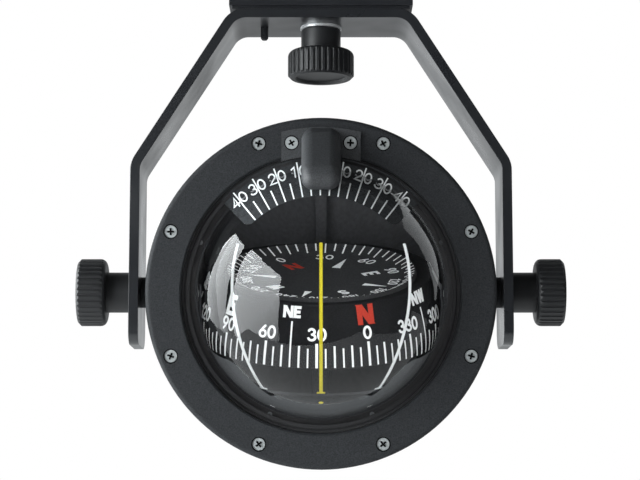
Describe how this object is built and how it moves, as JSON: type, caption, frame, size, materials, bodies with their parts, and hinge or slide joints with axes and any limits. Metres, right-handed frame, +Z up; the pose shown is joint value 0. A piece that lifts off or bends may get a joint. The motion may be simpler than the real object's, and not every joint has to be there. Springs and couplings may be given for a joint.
{
  "type": "magnetic compass",
  "caption": "Steering compass with a clear dome, gimballed card, lubber wires, clinometer scale and lamp hood, tilting between clamp knobs in a bent strip bracket under a base block.",
  "frame": {"origin": "centre of the base block's top face, where it is screwed to what is overhead", "axes": "+Z up out of the mounting face, +X along the tilt axis to the right, and the dome looks towards -Y, turned 8 degrees down"},
  "size_m": [0.2528, 0.1478, 0.2533],
  "materials": {
    "anodised_black": "black anodised, satin",
    "knob_black": "moulded, satin",
    "bowl_black": "fine-grained matt",
    "dome_clear": "polished clear",
    "scale_grey": "gloss dark grey with white marks",
    "card_black": "matt black with white marks",
    "frame_dark": "dark grey paint",
    "stainless": "bright turned",
    "washer_grey": "plain turned",
    "brass_parts": "turned",
    "black_rubber": "matt",
    "wire_yellow": "gloss paint",
    "wire_white": "gloss paint",
    "weight_grey": "cast, painted",
    "float_tan": "moulded foam",
    "magnet_steel": "ground",
    "jewel_red": "polished",
    "lamp_white": "moulded",
    "lamp_clear": "clear"
  },
  "bodies": {
    "bracket": {"base_block": "anodised_black", "base_insert": "brass_parts", "index_pin": "anodised_black", "yoke_bracket": "anodised_black", "centre_washer": "washer_grey"},
    "centre_knob": {"centre_knob_grip": "knob_black", "centre_knob_stud": "stainless"},
    "left_knob": {"left_knob_grip": "knob_black", "left_knob_stud": "stainless"},
    "right_knob": {"right_knob_grip": "knob_black", "right_knob_stud": "stainless"},
    "bowl": {"left_insert": "brass_parts", "right_insert": "brass_parts", "left_spacer": "bowl_black", "right_spacer": "bowl_black", "bezel_ring": "bowl_black", "bezel_screws": "stainless", "dome_lens": "dome_clear", "flange_pins": "wire_white", "dome_gasket": "black_rubber", "rear_housing": "bowl_black", "roll_bush": "brass_parts", "expansion_diaphragm": "black_rubber", "rear_cover": "bowl_black", "rear_cover_screws": "stainless", "filler_plug": "brass_parts", "filler_seal": "black_rubber", "clinometer_scale": "scale_grey", "lamp_hood": "bowl_black", "lamp_holder": "lamp_white", "lamp_bulb": "lamp_clear", "lamp_screws": "stainless"},
    "across_compensator": {"across_compensator_shaft": "brass_parts", "across_compensator_magnet": "magnet_steel"},
    "along_compensator": {"along_compensator_shaft": "brass_parts", "along_compensator_magnet": "magnet_steel"},
    "roll_gimbal": {"roll_yoke": "frame_dark", "pitch_pins": "stainless", "roll_pointer": "frame_dark"},
    "lubber_frame": {"lubber_frame": "frame_dark", "balance_weight": "weight_grey", "pivot_post": "frame_dark", "front_lubber_wire": "wire_yellow", "side_lubber_wires": "wire_white"},
    "card": {"card_shell": "card_black", "card_float": "float_tan", "card_magnets": "magnet_steel", "jewel_cup": "jewel_red"}
  },
  "joints": [
    {"name": "bowl_tilt", "type": "hinge", "parent": "bracket", "child": "bowl", "pos_m": [0, 0, -0.161], "axis": [1, 0, 0], "continuous": true},
    {"name": "centre_knob_turn", "type": "hinge", "parent": "bracket", "child": "centre_knob", "pos_m": [0, 0, -0.04], "axis": [0, 0, 1], "range_deg": [0, 1080]},
    {"name": "left_knob_turn", "type": "hinge", "parent": "bracket", "child": "left_knob", "pos_m": [-0.11, 0, -0.161], "axis": [-1, 0, 0], "range_deg": [0, 1080]},
    {"name": "right_knob_turn", "type": "hinge", "parent": "bracket", "child": "right_knob", "pos_m": [0.11, 0, -0.161], "axis": [1, 0, 0], "range_deg": [0, 1080]},
    {"name": "across_compensator_turn", "type": "hinge", "parent": "bowl", "child": "across_compensator", "pos_m": [0.022, 0.03335, -0.23306], "axis": [1, 0, 0], "continuous": true},
    {"name": "along_compensator_turn", "type": "hinge", "parent": "bowl", "child": "along_compensator", "pos_m": [0, 0.04569, -0.22022], "axis": [0, 0.9903, 0.1392], "continuous": true},
    {"name": "gimbal_roll", "type": "hinge", "parent": "bowl", "child": "roll_gimbal", "pos_m": [0, -0.01287, -0.16281], "axis": [0, 0.9903, 0.1392], "range_deg": [-45, 45]},
    {"name": "gimbal_pitch", "type": "hinge", "parent": "roll_gimbal", "child": "lubber_frame", "pos_m": [0, -0.01287, -0.16281], "axis": [1, 0, 0], "range_deg": [-35, 35]},
    {"name": "card_spin", "type": "hinge", "parent": "lubber_frame", "child": "card", "pos_m": [0, -0.01287, -0.16281], "axis": [0, -0.3502, 0.9367], "continuous": true}
  ]
}
